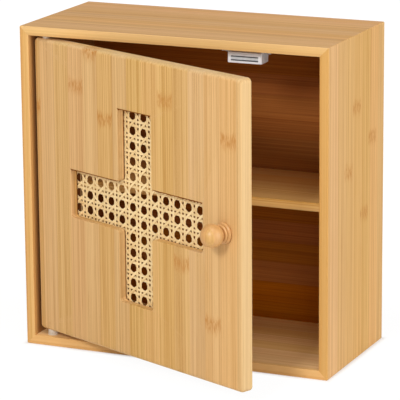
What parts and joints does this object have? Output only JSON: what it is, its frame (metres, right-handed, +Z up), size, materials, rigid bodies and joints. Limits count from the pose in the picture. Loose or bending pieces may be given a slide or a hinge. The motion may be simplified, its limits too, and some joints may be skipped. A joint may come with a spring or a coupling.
{
  "type": "medicine cabinet",
  "caption": "Square wall cabinet in laminated bamboo with a shelf, a pivot-hung door with a cross-shaped cane window, a round knob and a magnetic catch.",
  "frame": {"origin": "middle of the carcass's underside, where the cabinet stands on a surface", "axes": "+Z up, +X to the right seen from the front, the open front faces -Y and the wall is at +Y"},
  "size_m": [0.3, 0.2568, 0.3],
  "materials": {
    "bamboo": "clear satin lacquer over laminated bamboo strips",
    "back_board": "thin bamboo plywood, sanded",
    "turned_wood": "turned bamboo, clear satin lacquer",
    "cane": "natural woven cane",
    "nylon": "natural white nylon",
    "catch_plastic": "white moulded plastic",
    "magnet": "dull nickel-plated magnet",
    "pole_steel": "dark oxidised steel",
    "steel": "bright zinc-plated steel"
  },
  "bodies": {
    "carcass": {"top_panel": "bamboo", "bottom_panel": "bamboo", "left_side_panel": "bamboo", "right_side_panel": "bamboo", "corner_splines": "back_board", "back_panel": "back_board", "back_panel_pins": "steel", "left_wall_eyelet": "steel", "right_wall_eyelet": "steel", "shelf": "bamboo", "shelf_dowels": "turned_wood", "upper_pivot_bush": "nylon", "lower_pivot_bush": "nylon", "catch_housing": "catch_plastic", "catch_magnet": "magnet", "catch_pole_plates": "pole_steel", "catch_screws": "steel"},
    "door": {"door_panel": "bamboo", "cane_webbing": "cane", "cane_retainer": "turned_wood", "retainer_pins": "steel", "door_knob": "turned_wood", "knob_screw": "steel", "upper_pivot_pin": "steel", "lower_pivot_pin": "steel", "upper_pivot_spacer": "nylon", "lower_pivot_spacer": "nylon", "strike_plate": "steel", "strike_screw": "steel"}
  },
  "joints": [
    {"name": "door_hinge", "type": "hinge", "parent": "carcass", "child": "door", "pos_m": [-0.1275, -0.0606, 0.15], "axis": [0, 0, -1], "range_deg": [-23.5, 86.5]}
  ]
}
